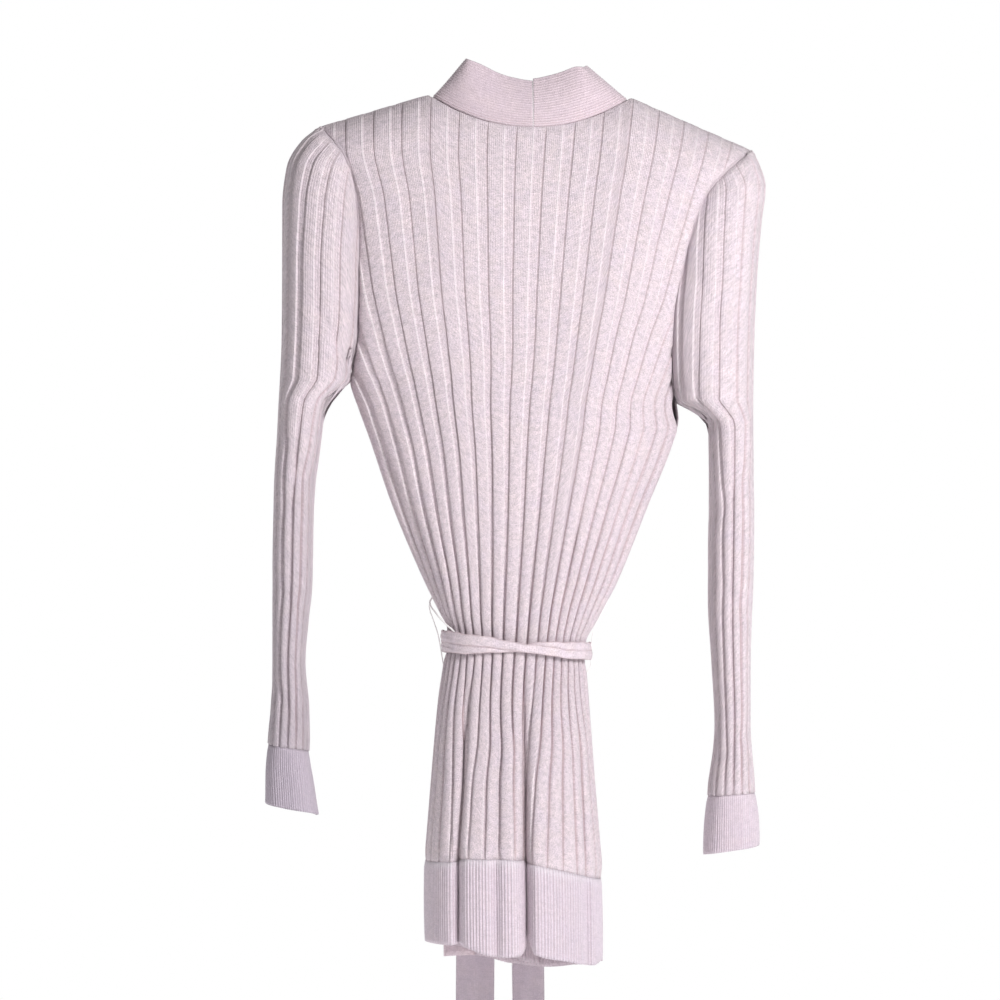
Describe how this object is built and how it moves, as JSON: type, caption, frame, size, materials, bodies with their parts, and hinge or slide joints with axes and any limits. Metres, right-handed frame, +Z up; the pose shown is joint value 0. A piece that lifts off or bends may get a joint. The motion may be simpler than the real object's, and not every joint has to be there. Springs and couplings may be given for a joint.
{
  "type": "wrap cardigan",
  "caption": "Hip-length wrap cardigan in wide-rib knit with long sleeves, V-neck shawl band, fine-rib cuffs and hem, and a tied belt, filled out and hanging with no wearer",
  "frame": {"origin": "between the shoulders at the base of the neck, on the plane through the shoulder ridge, where the wearer holds the garment up", "axes": "+Z up along the body, +X toward the wearer's right side, +Y out of the garment's front, so the back faces -Y"},
  "size_m": [0.4491, 0.1598, 0.8936],
  "materials": {
    "wide_rib_knit": "soft heather knit",
    "fine_rib_knit": "soft heather knit",
    "belt_knit": "soft heather knit",
    "loop_thread": "twisted thread"
  },
  "bodies": {
    "root": {"back": "wide_rib_knit", "front_left": "wide_rib_knit", "front_right": "wide_rib_knit", "sleeve_left": "wide_rib_knit", "sleeve_right": "wide_rib_knit", "cuff_left": "fine_rib_knit", "cuff_right": "fine_rib_knit", "hem_back": "fine_rib_knit", "hem_front_left": "fine_rib_knit", "hem_front_right": "fine_rib_knit", "band_left": "fine_rib_knit", "band_right": "fine_rib_knit", "belt_wrap": "belt_knit", "belt_knot": "belt_knit", "belt_tail_left": "belt_knit", "belt_tail_right": "belt_knit", "belt_loop_left": "loop_thread", "belt_loop_right": "loop_thread"}
  },
  "joints": []
}
